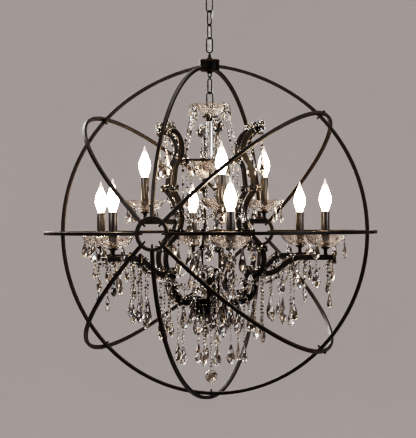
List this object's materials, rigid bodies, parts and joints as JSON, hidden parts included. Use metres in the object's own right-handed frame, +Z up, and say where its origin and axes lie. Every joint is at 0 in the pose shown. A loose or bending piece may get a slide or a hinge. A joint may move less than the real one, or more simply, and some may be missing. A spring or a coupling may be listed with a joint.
{
  "type": "chandelier",
  "caption": "Crystal chandelier with two tiers of candle lights hung inside an open orb of square iron bars, on a chain from a ceiling canopy.",
  "frame": {"origin": "On the ceiling, at the middle between the bracket's two screw holes.", "axes": "+Z is up, out of the ceiling face. X runs along the bracket's two screw holes. -Y is the side seen in the picture."},
  "size_m": [0.996, 0.9962, 1.2655],
  "materials": {
    "bronze_iron": "dark bronze paint over iron, satin, brushed brown on the edges",
    "zinc_steel": "zinc-plated steel, dull",
    "bright_tube": "bright plated tube",
    "pressed_glass": "clear pressed glass with cut lobes",
    "crystal": "clear cut crystal with polished facets",
    "candle_plastic": "dark brown candle sleeve, satin",
    "holder_plastic": "moulded lampholder, matt",
    "lamp_glass": "clear flame-shaped lamp glass",
    "cord_plastic": "translucent grey flexible cord"
  },
  "bodies": {
    "root": {"ceiling_bracket": "zinc_steel", "nipple": "zinc_steel", "canopy": "bronze_iron", "canopy_eye": "bronze_iron"},
    "link_1": {"upper_link_1": "bronze_iron"},
    "link_2": {"upper_link_2": "bronze_iron"},
    "link_3": {"upper_link_3": "bronze_iron"},
    "link_4": {"upper_link_4": "bronze_iron"},
    "orb": {"supply_cord": "cord_plastic", "hub_top_eye": "bronze_iron", "top_hub": "bronze_iron", "hub_bottom_eye": "bronze_iron", "main_ring": "bronze_iron", "bar_front_top": "bronze_iron", "bar_back_top": "bronze_iron", "bar_bottom": "bronze_iron", "bar_right": "bronze_iron", "bar_left": "bronze_iron", "bar_upper_right": "bronze_iron", "bar_upper_left": "bronze_iron", "bar_lower_right": "bronze_iron", "bar_lower_left": "bronze_iron", "hub_rings": "bronze_iron"},
    "link_5": {"lower_link_1": "bronze_iron"},
    "link_6": {"lower_link_2": "bronze_iron"},
    "chandelier": {"crown_eye": "bronze_iron", "crown_dish": "pressed_glass", "crown_fitting": "bronze_iron", "column": "bright_tube", "spider": "bronze_iron", "centre_bowl": "pressed_glass", "scroll_frame_1": "bronze_iron", "scroll_frame_2": "bronze_iron", "scroll_frame_3": "bronze_iron", "scroll_frame_4": "bronze_iron", "scroll_frame_5": "bronze_iron", "scroll_frame_6": "bronze_iron", "lower_arms": "bronze_iron", "upper_arms": "bronze_iron", "lower_candle_cups": "bronze_iron", "upper_candle_cups": "bronze_iron", "lower_candle_dishes": "pressed_glass", "upper_candle_dishes": "pressed_glass", "lower_lampholders": "holder_plastic", "upper_lampholders": "holder_plastic", "lower_candle_sleeves": "candle_plastic", "upper_candle_sleeves": "candle_plastic", "lower_candle_lamps": "lamp_glass", "upper_candle_lamps": "lamp_glass", "crown_prisms": "crystal", "bowl_prisms": "crystal", "scroll_drops": "crystal", "arm_drops": "crystal", "bottom_tube": "bronze_iron", "bottom_dish": "bronze_iron", "bottom_drops": "crystal", "finial": "bronze_iron"},
    "pendant": {"ball_string": "crystal", "faceted_ball": "crystal"}
  },
  "joints": [
    {"name": "canopy_eye_swing", "type": "hinge", "parent": "root", "child": "link_1", "pos_m": [0, 0, -0.0654], "axis": [0.1736, -0.9848, 0], "range_deg": [-12, 12], "deforming": ["supply_cord"]},
    {"name": "link_1_swing", "type": "hinge", "parent": "link_1", "child": "link_2", "pos_m": [0, 0, -0.10585], "axis": [0.9781, 0.2079, 0], "range_deg": [-12, 12], "deforming": ["supply_cord"]},
    {"name": "link_2_swing", "type": "hinge", "parent": "link_2", "child": "link_3", "pos_m": [0, 0, -0.14655], "axis": [0.5736, -0.8192, 0], "range_deg": [-12, 12], "deforming": ["supply_cord"]},
    {"name": "link_3_swing", "type": "hinge", "parent": "link_3", "child": "link_4", "pos_m": [0, 0, -0.18725], "axis": [0.5446, 0.8387, 0], "range_deg": [-12, 12], "deforming": ["supply_cord"]},
    {"name": "orb_swing", "type": "hinge", "parent": "link_4", "child": "orb", "pos_m": [0, 0, -0.22795], "axis": [0.9848, -0.1736, 0], "range_deg": [-12, 12], "deforming": ["supply_cord"]},
    {"name": "lower_eye_swing", "type": "hinge", "parent": "orb", "child": "link_5", "pos_m": [0, 0, -0.3102], "axis": [0.6018, 0.7986, 0], "range_deg": [-2.5, 2.5], "deforming": ["supply_cord"]},
    {"name": "link_5_swing", "type": "hinge", "parent": "link_5", "child": "link_6", "pos_m": [0, 0, -0.35065], "axis": [0.6018, -0.7986, 0], "range_deg": [-2.5, 2.5], "deforming": ["supply_cord"]},
    {"name": "chandelier_swing", "type": "hinge", "parent": "link_6", "child": "chandelier", "pos_m": [0, 0, -0.39135], "axis": [0.9703, 0.2419, 0], "range_deg": [-2.5, 2.5], "deforming": ["supply_cord"]},
    {"name": "ball_swing", "type": "hinge", "parent": "chandelier", "child": "pendant", "pos_m": [0, 0, -1.06018], "axis": [0.866, 0.5, 0], "range_deg": [-12, 12]}
  ]
}
